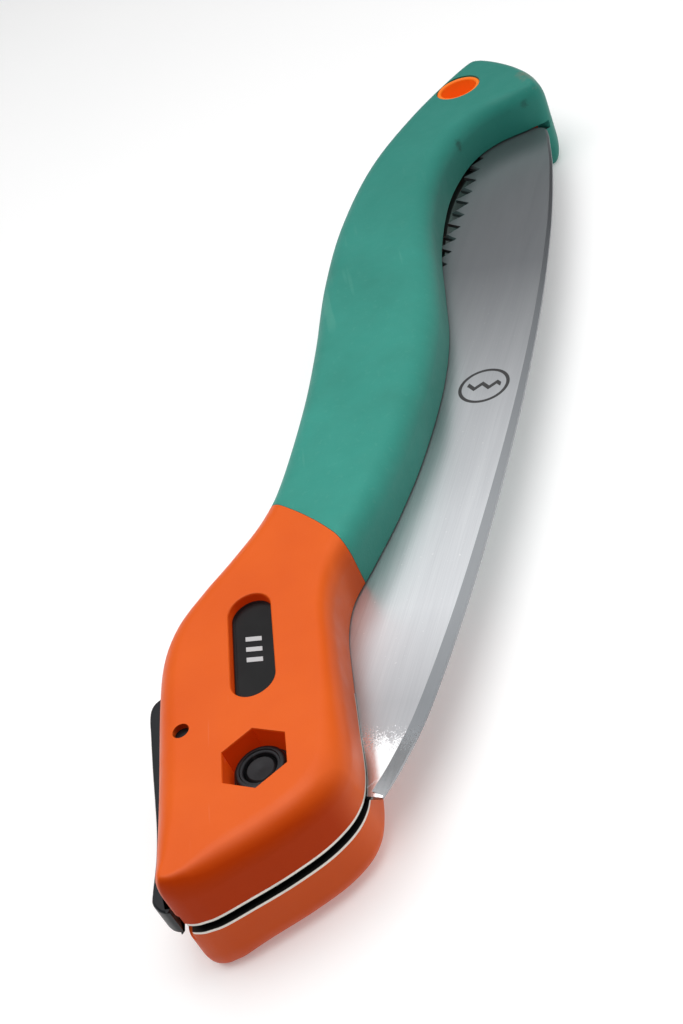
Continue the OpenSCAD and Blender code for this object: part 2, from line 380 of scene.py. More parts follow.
def add(tree, kind, inputs=None, **settings):
    """New node with its settings, and its inputs set or linked by name or index."""
    made = tree.nodes.new(kind)
    for name, value in settings.items():
        setattr(made, name, value)
    for name, value in (inputs or {}).items():
        link_or_set(tree, made.inputs[name], value)
    return made


def math_node(tree, operation, a, b=0.0, c=None):
    made = add(tree, "ShaderNodeMath", {0: a, 1: b}, operation=operation)
    if c is not None:
        link_or_set(tree, made.inputs[2], c)
    return made.outputs[0]


def object_point(tree, stretch=(1, 1, 1), turn=0.0, shift=(0, 0, 0)):
    coords = add(tree, "ShaderNodeTexCoord").outputs["Object"]
    moved = add(tree, "ShaderNodeMapping", {"Vector": coords, "Location": shift})
    moved.vector_type = "POINT"
    spun = add(tree, "ShaderNodeMapping", {
        "Vector": moved.outputs[0], "Rotation": (0, 0, turn), "Scale": stretch,
    })
    return spun.outputs[0]


def noise(tree, point, scale, detail=3.0, rough=0.55):
    made = add(tree, "ShaderNodeTexNoise", {
        "Vector": point, "Scale": scale, "Detail": detail, "Roughness": rough,
    })
    return made.outputs["Fac"]


def remap(tree, value, low, high, to_low, to_high):
    made = add(tree, "ShaderNodeMapRange", {
        "Value": value, "From Min": low, "From Max": high, "To Min": to_low, "To Max": to_high,
    })
    return made.outputs["Result"]


def mix(tree, factor, a, b):
    made = add(tree, "ShaderNodeMix", data_type="RGBA")
    link_or_set(tree, made.inputs["Factor"], factor)
    colour_inputs = [s for s in made.inputs if s.type == "RGBA"]
    link_or_set(tree, colour_inputs[0], a)
    link_or_set(tree, colour_inputs[1], b)
    return [s for s in made.outputs if s.type == "RGBA"][0]


def bump(tree, height, distance, strength=1.0, normal=None):
    inputs = {"Height": height, "Distance": distance, "Strength": strength}
    if normal is not None:
        inputs["Normal"] = normal
    return add(tree, "ShaderNodeBump", inputs).outputs["Normal"]


def linear(red, green, blue):
    """Linear colour from display values of 0 to 255."""
    def one(c):
        c = c / 255
        return c / 12.92 if c <= 0.04045 else ((c + 0.055) / 1.055) ** 2.4
    return (one(red), one(green), one(blue), 1.0)


def blank(name, metallic=0.0, specular=0.5):
    material = bpy.data.materials.new(name)
    material.use_nodes = True
    tree = material.node_tree
    shader = tree.nodes["Principled BSDF"]
    shader.inputs["Metallic"].default_value = metallic
    shader.inputs["Specular IOR Level"].default_value = specular
    return material, tree, shader


def scratches(tree, turn, scale, amount):
    """Mask of thin short scratches that run one way."""
    point = object_point(tree, (scale * 0.06, scale, scale), turn)
    lines = noise(tree, point, 1.0, 2.0, 0.6)
    where = noise(tree, object_point(tree), scale * 0.12, 2.0, 0.5)
    thin = remap(tree, lines, 0.66, 0.7, 0.0, 1.0)
    patch = remap(tree, where, 0.52, 0.62, 0.0, amount)
    return math_node(tree, "MULTIPLY", thin, patch)


def moulded_plastic(name, colour, deep, roughness, grain):
    """Moulded plastic: slow colour drift, fine texture, a few scuffs, and painted shade inside the slot.
    """
    material, tree, shader = blank(name, specular=0.22)
    point = object_point(tree)
    drift = remap(tree, noise(tree, point, 45, 3), 0.3, 0.7, 0.0, 1.0)
    base = mix(tree, drift, colour, deep)
    marks = scratches(tree, 0.5, 420, 0.35)
    pale = tuple(min(1.0, 0.35 + 0.65 * c) for c in colour[:3]) + (1.0,)
    shader_colour = mix(tree, math_node(tree, "MULTIPLY", marks, 0.5), base, pale)
    # Painted shade: faces inside the slot are darkened almost to black.
    shader_colour = mix(tree, slot_painted_shade(tree), shader_colour, PAINTED_SHADE_BLACK)
    tree.links.new(shader_colour, shader.inputs["Base Color"])
    fine = noise(tree, point, 2600, 2, 0.5)
    broad = noise(tree, point, 260, 3, 0.5)
    gloss = math_node(tree, "ADD", remap(tree, broad, 0.3, 0.7, roughness - 0.05, roughness + 0.05),
                      math_node(tree, "MULTIPLY", marks, 0.15))
    tree.links.new(gloss, shader.inputs["Roughness"])
    height = math_node(tree, "ADD", fine, math_node(tree, "MULTIPLY", broad, 1.5))
    tree.links.new(bump(tree, height, grain), shader.inputs["Normal"])
    return material


def orange_plastic():
    """Orange shell plastic, with painted shade on the front wall and a faint painted glow on the side
    walls by the nut pocket and the window.
    """
    material = moulded_plastic("orange_plastic", ORANGE, ORANGE_DEEP, 0.42, 0.000015)
    tree = material.node_tree
    shader = tree.nodes["Principled BSDF"]
    coords = add(tree, "ShaderNodeTexCoord").outputs
    forward, _, facing = add(tree, "ShaderNodeSeparateXYZ", {0: coords["Normal"]}).outputs
    height = add(tree, "ShaderNodeSeparateXYZ", {0: coords["Object"]}).outputs["Z"]
    # Painted shade: faces turned to the front are darkened and lose sheen, less on the lower half.
    front = math_node(tree, "MULTIPLY", remap(tree, forward, -0.3, -0.8, 0.0, 1.0),
                      remap(tree, height, -0.001, 0.001, 0.45, 1.0))
    bright = shader.inputs["Base Color"].links[0].from_socket
    tree.links.new(mix(tree, front, bright, ORANGE_PAINTED_SHADE), shader.inputs["Base Color"])
    tree.links.new(remap(tree, front, 0.0, 1.0, 0.22, 0.05), shader.inputs["Specular IOR Level"])
    # Painted light: side walls by the nut pocket and the window glow faintly.
    wall = math_node(tree, "LESS_THAN", math_node(tree, "ABSOLUTE", facing), 0.5)
    painted_glow = 0.0
    for at, reach in (((0, 0), 8.0), (WINDOW_AT, 13.3)):
        flat = add(tree, "ShaderNodeMapping", {"Vector": coords["Object"], "Scale": (1, 1, 0)})
        away = add(tree, "ShaderNodeVectorMath", {0: flat.outputs[0], 1: place(*at, 0)},
                   operation="DISTANCE").outputs["Value"]
        near_by = math_node(tree, "LESS_THAN", away, reach * MM)
        painted_glow = math_node(tree, "MAXIMUM", painted_glow, near_by)
    strength = math_node(tree, "MULTIPLY", math_node(tree, "MULTIPLY", painted_glow, wall), 0.16)
    tree.links.new(strength, shader.inputs["Emission Strength"])
    shader.inputs["Emission Color"].default_value = linear(255, 62, 6)
    return material


def eyelet_with_painted_glow():
    """Thin bright orange plastic; the light let through it is painted as a faint glow."""
    material = moulded_plastic("eyelet_orange", linear(255, 132, 36), linear(252, 122, 30), 0.4,
                               0.000008)
    shader = material.node_tree.nodes["Principled BSDF"]
    # Painted light: a faint glow, though the eyelet is no lamp.
    shader.inputs["Emission Color"].default_value = linear(255, 110, 20)
    shader.inputs["Emission Strength"].default_value = 0.09
    return material


def slot_painted_shade(tree):
    """Mask of the faces inside the slot, where shade is painted in near black."""
    coords = add(tree, "ShaderNodeTexCoord").outputs
    height = add(tree, "ShaderNodeSeparateXYZ", {0: coords["Object"]}).outputs["Z"]
    facing = add(tree, "ShaderNodeSeparateXYZ", {0: coords["Normal"]}).outputs["Z"]
    inside = math_node(tree, "LESS_THAN", math_node(tree, "ABSOLUTE", height), 1.1 * SLOT_HALF * MM)
    across = math_node(tree, "GREATER_THAN", math_node(tree, "ABSOLUTE", facing), 0.9)
    return math_node(tree, "MULTIPLY", math_node(tree, "MULTIPLY", inside, across), 0.85)


def near(tree, at, radius, strength):
    """Soft ragged mask around a point given in millimetres about the pivot."""
    point = object_point(tree)
    away = add(tree, "ShaderNodeVectorMath", {0: point, 1: place(*at)}, operation="DISTANCE")
    ragged = math_node(tree, "ADD", away.outputs["Value"],
                       remap(tree, noise(tree, point, 900, 3), 0.3, 0.7, -0.0006, 0.0006))
    return remap(tree, ragged, radius * 0.35 * MM, radius * MM, strength, 0.0)


def rubber():
    """Soft green rubber: mottled, scratched and scuffed, with painted shade towards the tail, under the
    teeth and inside the slot.
    """
    material, tree, shader = blank("green_rubber", specular=0.35)
    point = object_point(tree)
    cloud = remap(tree, noise(tree, point, 38, 4, 0.6), 0.32, 0.7, 0.0, 1.0)
    base = mix(tree, cloud, GREEN, GREEN_DEEP)
    speck = remap(tree, noise(tree, point, 900, 2, 0.5), 0.62, 0.72, 0.0, 0.12)
    base = mix(tree, speck, base, GREEN_PALE)
    along = scratches(tree, 0.35, 380, 0.8)
    across = scratches(tree, 1.7, 300, 0.6)
    marks = math_node(tree, "MAXIMUM", along, across)
    base = mix(tree, math_node(tree, "MULTIPLY", marks, 0.35), base, GREEN_PALE)
    toward_tail, _, height = add(tree, "ShaderNodeSeparateXYZ", {0: point}).outputs
    # Painted shade: the rubber is darkened towards the tail, where less light falls.
    base = mix(tree, remap(tree, toward_tail, -0.1, 0.0, 0.0, 0.7), base, GREEN_PAINTED_SHADE)
    for spot, radius, strength, tint in RUBBER_SPOTS:
        base = mix(tree, near(tree, spot, radius, strength), base, tint)
    # Painted shade on the lower grip under the teeth, where the blade shades it.
    below = math_node(tree, "LESS_THAN", height, -0.5 * MM)
    for spot in SHADE_UNDER_TEETH:
        teeth_shade = math_node(tree, "MULTIPLY", near(tree, spot, 14.0, 0.85), below)
        base = mix(tree, teeth_shade, base, PAINTED_SHADE_BLACK)
    # Painted shade: faces inside the slot are darkened almost to black.
    base = mix(tree, slot_painted_shade(tree), base, PAINTED_SHADE_BLACK)
    tree.links.new(base, shader.inputs["Base Color"])
    fine = noise(tree, point, 3000, 2, 0.5)
    broad = noise(tree, point, 160, 3, 0.5)
    rough = remap(tree, broad, 0.3, 0.7, 0.56, 0.68)
    tree.links.new(rough, shader.inputs["Roughness"])
    height = math_node(tree, "ADD", fine, math_node(tree, "MULTIPLY", broad, 3.0))
    tree.links.new(bump(tree, height, 0.00003), shader.inputs["Normal"])
    shader.inputs["Sheen Weight"].default_value = 0.12
    shader.inputs["Sheen Roughness"].default_value = 0.4
    return material


def metal(name, colour, roughness, turn=0.0, brush=0.0, metallic=1.0, grain=0.00001):
    """Metal with a brushed or cast grain and a slow drift in tone."""
    material, tree, shader = blank(name, metallic=metallic)
    point = object_point(tree)
    stretch = (1 - 0.97 * brush, 1, 1)
    lines = noise(tree, object_point(tree, tuple(1800 * s for s in stretch), turn), 1.0, 3, 0.6)
    drift = noise(tree, point, 90, 3, 0.55)
    dark = tuple(c * 0.8 for c in colour[:3]) + (1.0,)
    tone = remap(tree, math_node(tree, "ADD", drift, math_node(tree, "MULTIPLY", lines, 0.5)),
                 0.55, 0.95, 0.0, 1.0)
    tree.links.new(mix(tree, tone, dark, colour), shader.inputs["Base Color"])
    tree.links.new(remap(tree, lines, 0.3, 0.7, roughness - 0.06, roughness + 0.06),
                   shader.inputs["Roughness"])
    tree.links.new(bump(tree, lines, grain), shader.inputs["Normal"])
    return material


def liner_steel():
    """Pale brushed steel, with its face towards the blade painted near black as shade in the slot."""
    material = metal("liner_steel", linear(240, 236, 226), 0.45, 0.4, 0.5, 0.35)
    tree = material.node_tree
    shader = tree.nodes["Principled BSDF"]
    bright = shader.inputs["Base Color"].links[0].from_socket
    height = add(tree, "ShaderNodeSeparateXYZ", {0: object_point(tree)}).outputs["Z"]
    height = math_node(tree, "ABSOLUTE", height)
    # Painted shade: the face towards the blade is darkened almost to black.
    inner = remap(tree, height, 0.00087, 0.00097, 0.98, 0.0)
    tree.links.new(mix(tree, inner, bright, PAINTED_SHADE_BLACK), shader.inputs["Base Color"])
    return material


def blade_frame(tree):
    """Coordinates in millimetres along and across the line of teeth."""
    shift = tuple(-c for c in PIVOT)
    coords = add(tree, "ShaderNodeTexCoord").outputs["Object"]
    moved = add(tree, "ShaderNodeMapping", {"Vector": coords, "Location": shift}).outputs[0]
    spun = add(tree, "ShaderNodeMapping", {
        "Vector": moved, "Rotation": (0, 0, -BLADE_SLOPE), "Scale": (1000, 1000, 1000),
    }).outputs[0]
    split = add(tree, "ShaderNodeSeparateXYZ", {0: spun})
    return spun, split.outputs


def etched_mark(tree, x, y, z):
    """Mask of a plain etched mark on the upper face: a ring around a zigzag line."""
    u = math_node(tree, "SUBTRACT", x, MARK_AT[0])
    v = math_node(tree, "SUBTRACT", y, MARK_AT[1])
    radius = math_node(tree, "SQRT", math_node(
        tree, "ADD", math_node(tree, "MULTIPLY", u, u), math_node(tree, "MULTIPLY", v, v)))
    off_ring = math_node(tree, "ABSOLUTE", math_node(tree, "SUBTRACT", radius, MARK_R))
    on_ring = remap(tree, off_ring, MARK_LINE - 0.08, MARK_LINE, 1.0, 0.0)
    wave = math_node(tree, "PINGPONG", math_node(tree, "ADD", v, 30.0), 1.6)
    off_wave = math_node(tree, "ABSOLUTE", math_node(
        tree, "SUBTRACT", math_node(tree, "ADD", u, 0.8), wave))
    on_wave = remap(tree, off_wave, MARK_LINE + 0.2, MARK_LINE + 0.28, 1.0, 0.0)
    inside = remap(tree, radius, MARK_R - 1.5, MARK_R - 1.4, 1.0, 0.0)
    shape = math_node(tree, "MAXIMUM", on_ring, math_node(tree, "MULTIPLY", on_wave, inside))
    upper = math_node(tree, "GREATER_THAN", z, 0.5)
    return math_node(tree, "MULTIPLY", shape, upper)


def blade_steel():
    """Satin steel brushed along the blade, brighter near the root, with an etched mark; shade is painted
    in towards the tip, before the root and on the tang.
    """
    material, tree, shader = blank("blade_steel", metallic=0.85)
    point, (x, y, z) = blade_frame(tree)
    long_grain = add(tree, "ShaderNodeMapping", {"Vector": point, "Scale": (0.06, 8.0, 1.0)})
    lines = noise(tree, long_grain.outputs[0], 1.0, 4, 0.65)
    broad_grain = add(tree, "ShaderNodeMapping", {"Vector": point, "Scale": (0.012, 0.3, 1.0)})
    bands = noise(tree, broad_grain.outputs[0], 1.0, 3, 0.5)
    speck = remap(tree, noise(tree, point, 1.4, 2, 0.5), 0.7, 0.74, 0.0, 1.0)
    tone = math_node(tree, "ADD", math_node(tree, "MULTIPLY", lines, 0.6),
                     math_node(tree, "MULTIPLY", bands, 0.4))
    base = mix(tree, remap(tree, tone, 0.35, 0.65, 0.0, 1.0), STEEL_DARK, STEEL)
    base = mix(tree, math_node(tree, "MULTIPLY", speck, 0.6), base, STEEL_BRIGHT)
    # Painted shade: the steel is darkened towards the tip and in a band before the root.
    base = mix(tree, remap(tree, x, 66, 150, 0.0, 0.85), base, STEEL_PAINTED_SHADE)
    base = mix(tree, remap(tree, x, 42, 20, 0.0, 0.5), base, STEEL_PAINTED_SHADE)
    flecks = math_node(tree, "ADD", remap(tree, noise(tree, point, 0.9, 4, 0.6), 0.2, 0.8, -2, 2),
                       remap(tree, noise(tree, point, 5.0, 2, 0.5), 0.3, 0.7, -3, 3))
    edge = math_node(tree, "ADD", x, flecks)
    root = remap(tree, edge, 13.0, 11.0, 0.0, 1.0)
    base = mix(tree, math_node(tree, "MULTIPLY", root, 0.8), base, STEEL_BRIGHT)
    normal = add(tree, "ShaderNodeTexCoord").outputs["Normal"]
    tilt = add(tree, "ShaderNodeSeparateXYZ", {0: normal}).outputs["Z"]
    ground = remap(tree, math_node(tree, "ABSOLUTE", tilt), 0.985, 0.994, 0.75, 0.0)
    base = mix(tree, ground, base, GROUND_STEEL)
    radius = add(tree, "ShaderNodeVectorMath", {0: point}, operation="LENGTH").outputs["Value"]
    # Painted shade: the tang inside the slot is darkened almost to black.
    base = mix(tree, remap(tree, radius, 14.5, 16.5, 0.97, 0.0), base, PAINTED_SHADE_BLACK)
    mark = etched_mark(tree, x, y, z)
    base = mix(tree, math_node(tree, "MULTIPLY", mark, 0.92), base, ETCH)
    tree.links.new(base, shader.inputs["Base Color"])
    rough = remap(tree, lines, 0.3, 0.7, 0.3, 0.38)
    rough = math_node(tree, "ADD", rough, math_node(tree, "MULTIPLY", mark, 0.3))
    rough = math_node(tree, "SUBTRACT", rough, math_node(tree, "MULTIPLY", root, 0.2))
    tree.links.new(rough, shader.inputs["Roughness"])
    tree.links.new(bump(tree, lines, 0.0000008), shader.inputs["Normal"])
    shader.inputs["Anisotropic"].default_value = 0.4
    return material


ORANGE = linear(232, 98, 22)
ORANGE_DEEP = linear(224, 90, 18)
# Orange for the painted shade on the front wall.
ORANGE_PAINTED_SHADE = linear(184, 58, 8)
GREEN = linear(50, 150, 135)
GREEN_DEEP = linear(42, 136, 121)
GREEN_PALE = linear(96, 168, 150)
# Green for the painted shade towards the tail.
GREEN_PAINTED_SHADE = linear(24, 120, 108)
# Darker spots at the moulding dimples, and a scuff where the tail has rubbed: place, radius, strength,
# colour.
RUBBER_SPOTS = (
    ((187.3, -63.3, 8.3), 1.8, 0.6, linear(18, 70, 62)),
    ((195.4, -82.3, 8.0), 1.6, 0.5, linear(18, 70, 62)),
    ((205, -85, 10.6), 3.0, 0.5, linear(128, 118, 100)),
    ((201.8, -85, 10.2), 2.6, 0.45, linear(128, 118, 100)),
    ((198.8, -85, 9.6), 2.2, 0.4, linear(128, 118, 100)),
)
# Middles of the patches of painted shade on the lower grip, under the teeth, where the blade shades it.
SHADE_UNDER_TEETH = ((160, -54.5, -3), (175, -60, -3), (190, -65, -3))
STEEL = linear(226, 228, 231)
STEEL_DARK = linear(208, 210, 214)
STEEL_BRIGHT = linear(250, 250, 251)
# Steel for the painted shade on the blade.
STEEL_PAINTED_SHADE = linear(118, 121, 125)
ETCH = linear(52, 50, 50)
GROUND_STEEL = linear(118, 122, 126)
# Near black for painted shade: inside the slot, on the liners' inner faces, on the tang and under the
# teeth.
PAINTED_SHADE_BLACK = linear(14, 13, 12)
MARK_AT = (104.8, -14.0)
MARK_R = 5.2
MARK_LINE = 0.42

MATERIALS = {
    "orange": orange_plastic(),
    "green": rubber(),
    "blade": blade_steel(),
    "liner": liner_steel(),
    "dark": metal("black_oxide", linear(48, 48, 50), 0.4, 0.0, 0.0, 0.85, 0.00002),
    "insert": moulded_plastic("insert_nylon", linear(38, 40, 44), linear(28, 30, 33), 0.5, 0.00001),
    "black": moulded_plastic("badge_black", linear(12, 12, 14), linear(8, 8, 10), 0.33, 0.000006),
    "mark": moulded_plastic("badge_print", linear(205, 205, 205), linear(180, 180, 182), 0.5,
                            0.000004),
    "lever": moulded_plastic("lever_black", linear(34, 38, 43), linear(26, 29, 33), 0.38, 0.00001),
    "eyelet": eyelet_with_painted_glow(),
    "brass": metal("brass_bush", linear(214, 176, 96), 0.3, 0.0, 0.5),
    "washer": metal("thrust_washer", linear(206, 190, 150), 0.4, 0.0, 0.5),
    "spring": metal("spring_steel", linear(190, 192, 196), 0.3, 0.0, 0.8),
}


# ---------------------------------------------------------------- handle

def cad_limits():
    """Corners of the CAD box in millimetres about the pivot."""
    low, high = ((Vector(c) - PIVOT) / MM for c in cad_box)
    return low, high


def fine_rim():
    """The outline as a fine spline that stays inside the CAD box."""
    low, high = cad_limits()
    made = []
    for x, y, reach_in, reach_down in closed_spline(HANDLE_RIM, RIM_STEPS):
        x = min(max(x, low.x + 0.02), high.x - 0.02)
        y = min(max(y, low.y + 0.02), high.y - 0.02)
        made.append((x, y, reach_in, reach_down))
    return made


RIM = fine_rim()
RIM_FLAT = [(p[0], p[1]) for p in RIM]


def rounded_half(name):
    """Half of the handle's outer shape, with a softened seam and a quarter-round edge."""
    rings = [
        ring(inset(RIM_FLAT, SEAM_CHAMFER), 0.0),
        ring(RIM_FLAT, SEAM_CHAMFER),
    ]
    for k in range(EDGE_STEPS + 1):
        turn = math.pi / 2 * k / EDGE_STEPS
        reach = [p[2] * (1 - math.cos(turn)) for p in RIM]
        flat = inset(RIM_FLAT, reach)
        rings.append([
            (q[0], q[1], HALF_T - p[3] * (1 - math.sin(turn)))
            for q, p in zip(flat, RIM)
        ])
    return loft(name, rings)


def slot_plan():
    """Plan of the slot that the blade folds into, open at the blade side and at the front."""
    blade_end = arc((0, 0), TIP_REACH + 2, -14, 3, 34)
    return (
        turned(blade_end + [(204, 13), (48, 14)], BLADE_SLOPE)
        + [(37, 5.5), (31.5, 8), (31.5, 40), (-40, 40), (-40, -130), (120, -130)]
    )


LEVER_CHANNEL = [
    (-30, 16.7), (-16.6, 16.8), (-13.5, 17.1), (0, 17.6), (11, 18), (31.3, 17.2), (31.3, 30),
    (-30, 30),
]


def outside_circle(radius):
    """Cutter that covers the rubber: everything outside the circle, apart from the core."""
    slab = prism("slab", [(-60, -140), (300, -140), (300, 80), (-60, 80)], -1, HALF_T + 2)
    boolean(slab, prism("hole", circle(GRIP_CIRCLE, radius, 720), -2, HALF_T + 3))
    # Only the side towards the tail is rubber.
    boolean(slab, prism("tail", [(30, -130), (290, -130), (290, 70), (30, 70)], -3, HALF_T + 1.5),
            "INTERSECT")
    # The core's outline only matters under the rubber, so it is left alone near the pivot.
    under = [min(max((p[0] - 15) / 15, 0.0), 1.0) for p in RIM]
    core = inset(RIM_FLAT, [min(CORE_INSET, p[2]) * u for p, u in zip(RIM, under)])
    boolean(slab, prism("core", core, -4, CORE_TOP))
    return slab


def window_plan(gap=0.0):
    straight = (WINDOW_SIZE[0] - WINDOW_SIZE[1]) / 2
    r = WINDOW_SIZE[1] / 2 - gap
    x, y = WINDOW_AT
    return (
        arc((x + straight, y), r, -90, 90, 32)
        + arc((x - straight, y), r, 90, 270, 32)
    )


# Part of the plan that the steel liners fill, cut off by the handle's outline.
LINER_REGION = [
    (-30, -30), (17.6, -30), (17.6, -13.4), (20, -11.5), (42, -11.5), (46, -8), (46, 0),
    (38, 8), (30, 12), (30, 30), (-30, 30),
]


def make_liner(name):
    liner = prism(name, inset(RIM_FLAT, 0.02), *LINER_Z)
    boolean(liner, prism("region", LINER_REGION, -1, 4), "INTERSECT")
    boolean(liner, prism("channel", shifted(LEVER_CHANNEL, (0, -0.3)), -1, 4))
    boolean(liner, prism("bolt", circle((0, 0), BOLT_R + 0.05, 64), -1, 4))
    boolean(liner, prism("pin", circle(LEVER_PIN.xy, PIN_HOLE_R, 48), -1, 4))
    return liner


def liner_pocket():
    """Cutter for the step in a shell that its liner lies in."""
    pocket = prism("pocket", inset(RIM_FLAT, -2), -1, LINER_Z[1])
    boolean(pocket, prism("region", LINER_REGION, -2, 4), "INTERSECT")
    return pocket


def cut_slot(obj):
    boolean(obj, prism("slot", slot_plan(), -1, SLOT_HALF))
    boolean(obj, prism("bore", circle(HANG.xy, BORE_R, 96), -1, HALF_T + 1))


def make_shell():
    """Half of the orange shell, with the core under the rubber and its pockets."""
    shell = rounded_half("left_shell_body")
    boolean(shell, outside_circle(GRIP_RADIUS))
    cut_slot(shell)
    boolean(shell, liner_pocket())
    boolean(shell, prism("channel", LEVER_CHANNEL, -1.5, 3.3))
    boolean(shell, prism("bolt", circle((0, 0), BOLT_R + 0.1, 64), -2, 8))
    pockets = joined("pockets", [
        flared_prism("hexagon", hexagon(POCKET_FLATS), POCKET_FLOOR, HALF_T, 0.3),
        flared_prism("window", window_plan(), HALF_T - WINDOW_DEPTH, HALF_T, 0.35),
        flared_prism("pin", circle(LEVER_PIN.xy, PIN_HOLE_R, 48), -2, HALF_T, 0.06),
    ])
    boolean(shell, pockets)
    return shell


def dent(obj, at, outwards, radius=2.0, depth=0.3):
    """Presses a shallow round dent into a surface, with a ball that dips into it."""
    centre = Vector(at) + Vector(outwards).normalized() * (radius - depth)
    turns = [math.pi * (k / 12 - 0.5) for k in range(13)]
    profile = [
        (max(radius * math.cos(t), 0.01), centre.z + radius * math.sin(t)) for t in turns
    ]
    boolean(obj, lathe("ball", centre.xy, profile, 32, ring_shaped=False))


# Moulding dents in the wall of the grip: place, and the direction out of the surface there.
GRIP_DENTS = (
    ((187.3, -63.3, 8.3), (-0.53, -0.81, 0.25)),
    ((195.4, -82.3, 8.0), (-0.97, -0.1, 0.2)),
)


def make_grip():
    """The rubber over half of the handle, with two moulding dents."""
    grip = rounded_half("left_grip_rubber")
    boolean(grip, outside_circle(GRIP_RADIUS + 0.1), "INTERSECT")
    cut_slot(grip)
    for at, outwards in GRIP_DENTS:
        dent(grip, at, outwards)
    return grip


# ---------------------------------------------------------------- blade

def tooth_y(x):
    """Height of the tooth tips at x, on an arc so wide that their line is nearly straight."""
    low_x, low_y = TOOTH_ARC_LOW
    return low_y + TOOTH_ARC_R - math.sqrt(TOOTH_ARC_R ** 2 - (x - low_x) ** 2)


def notched_tang(start, end, steps):
    """Rim of the tang from start to end degrees, with the lock notches cut in."""
    made = []
    cuts = []
    for angle in NOTCH_ANGLES:
        half = math.degrees(math.asin(NOTCH_W / 2 / TANG_R))
        cuts.append((angle - half, angle + half, angle))
    for k in range(steps + 1):
        a = start + (end - start) * k / steps
        if any(lo <= a <= hi for lo, hi, _ in cuts):
            continue
        made.append((a, [(TANG_R * math.cos(math.radians(a)), TANG_R * math.sin(math.radians(a)))]))
    for lo, hi, mid in cuts:
        corner = math.cos(math.asin(NOTCH_W / 2 / TANG_R)) * TANG_R
        shape = [
            (corner, -NOTCH_W / 2), (NOTCH_R + 0.4, -NOTCH_W / 2), (NOTCH_R, -NOTCH_W / 2 + 0.4),
            (NOTCH_R, NOTCH_W / 2 - 0.4), (NOTCH_R + 0.4, NOTCH_W / 2), (corner, NOTCH_W / 2),
        ]
        made.append((mid, turned(shape, math.radians(mid))))
    made.sort(key=lambda item: item[0])
    return [p for _, points in made for p in points]


def spine_bevel(x):
    """How far the long bevel along the back reaches in, and how deep it is, at x."""
    taper = min(max((x - 20) / 185, 0.0), 1.0)
    return 2.1 - 1.6 * taper, 0.4


def blade_back_rows():
    """Plan point, point on the face, and bevel depth, along the back from root to tip."""
    plan = open_spline(BLADE_BACK, 12)
    closing = plan + [(150.0, 8.0), (20.0, 6.0)]
    reach = [spine_bevel(p[0])[0] for p in plan] + [0.1, 0.1]
    face = mitred(closing, reach)
    return [(p, f, spine_bevel(p[0])[1]) for p, f in zip(plan, face)]


def tooth_rows(index):
    """One tooth and the gullet behind it, seen from the face it is ground on and the other."""
    x = FIRST_TOOTH + index * TOOTH_PITCH
    y = tooth_y(x)
    gullet_x, gullet_y = x - TOOTH_PITCH * 0.5, y - TOOTH_DEPTH
    plan = [(x + 0.1, y), (x - 0.2, y), (gullet_x + 0.25, gullet_y), (gullet_x - 0.25, gullet_y)]
    gullet_face = [(gullet_x + 0.12, gullet_y - 0.3), (gullet_x - 0.12, gullet_y - 0.3)]
    ground = [(x - 0.02, y - 1.25), (x - 0.08, y - 1.25)] + gullet_face
    plain = [(x + 0.06, y - 0.12), (x - 0.16, y - 0.12)] + gullet_face
    return plan, ground, plain


def blade_rows():
    """The blade's outline: plan point, then face point and bevel depth above and below."""
    rows = [(p, f, d, f, d) for p, f, d in blade_back_rows()]
    for i in range(TOOTH_COUNT - 1, -1, -1):
        plan, ground, plain = tooth_rows(i)
        above, below = (ground, plain) if i % 2 == 0 else (plain, ground)
        rows += [(p, a, 0.5, b, 0.5) for p, a, b in zip(plan, above, below)]
    rows += [(p, (p[0], p[1] - 0.08), 0.08, (p[0], p[1] - 0.08), 0.08)
             for p in ((30, 6.4), (20, 7.6), (12, 8.3))]
    rows = [
        tuple(turned([item], BLADE_SLOPE)[0] if isinstance(item, tuple) else item for item in row)
        for row in rows
    ]
    tang = notched_tang(*TANG_RIM, 120)
    face = mitred(tang, [0.08] * len(tang))
    face[0], face[-1] = tang[0], tang[-1]
    return rows + [(p, f, 0.08, f, 0.08) for p, f in zip(tang, face)]


def make_blade():
    """The blade with its teeth, bevels and notched tang, bored for the bush."""
    rows = blade_rows()
    rings = [
        [(*row[3], -BLADE_HALF) for row in rows],
        [(*row[0], row[4] - BLADE_HALF) for row in rows],
        [(*row[0], BLADE_HALF - row[2]) for row in rows],
        [(*row[1], BLADE_HALF) for row in rows],
    ]
    blade = loft("blade_plate", rings)
    boolean(blade, prism("bore", circle((0, 0), BUSH_HOLE_R, 96), -2, 2))
    return blade


# ---------------------------------------------------------------- lever

def lever_cap_plan():
    outer = open_spline([
        (30.2, 19), (30.2, 20.6), (29, 22.2), (26.6, 22.8), (22, 22.6), (13.5, 22.1),
        (6.6, 21.6), (0, 21.2), (-6.2, 21.2), (-12.4, 21.7), (-14.4, 21.7), (-16, 20.8),
        (-16.9, 19.7), (-17.2, 18.7),
    ], 8)
    top = cad_limits()[1].y - 0.01
    outer = [(x, min(y, top)) for x, y in outer]
    return outer + [(-16.3, 18.9), (-14.5, 19.2), (-4, 19.13), (8, 19.07), (20, 19.02)]


def softened(name, plan, half, radius, steps=5):
    """Prism about the middle plane with its edges rounded over."""
    rings = []
    for k in range(steps + 1):
        turn = math.pi / 2 * k / steps
        rings.append(ring(inset(plan, radius * (1 - math.sin(turn))),
                          -half + radius * (1 - math.cos(turn))))
    rings += [[(x, y, -z) for x, y, z in r] for r in reversed(rings)]
    return loft(name, rings)


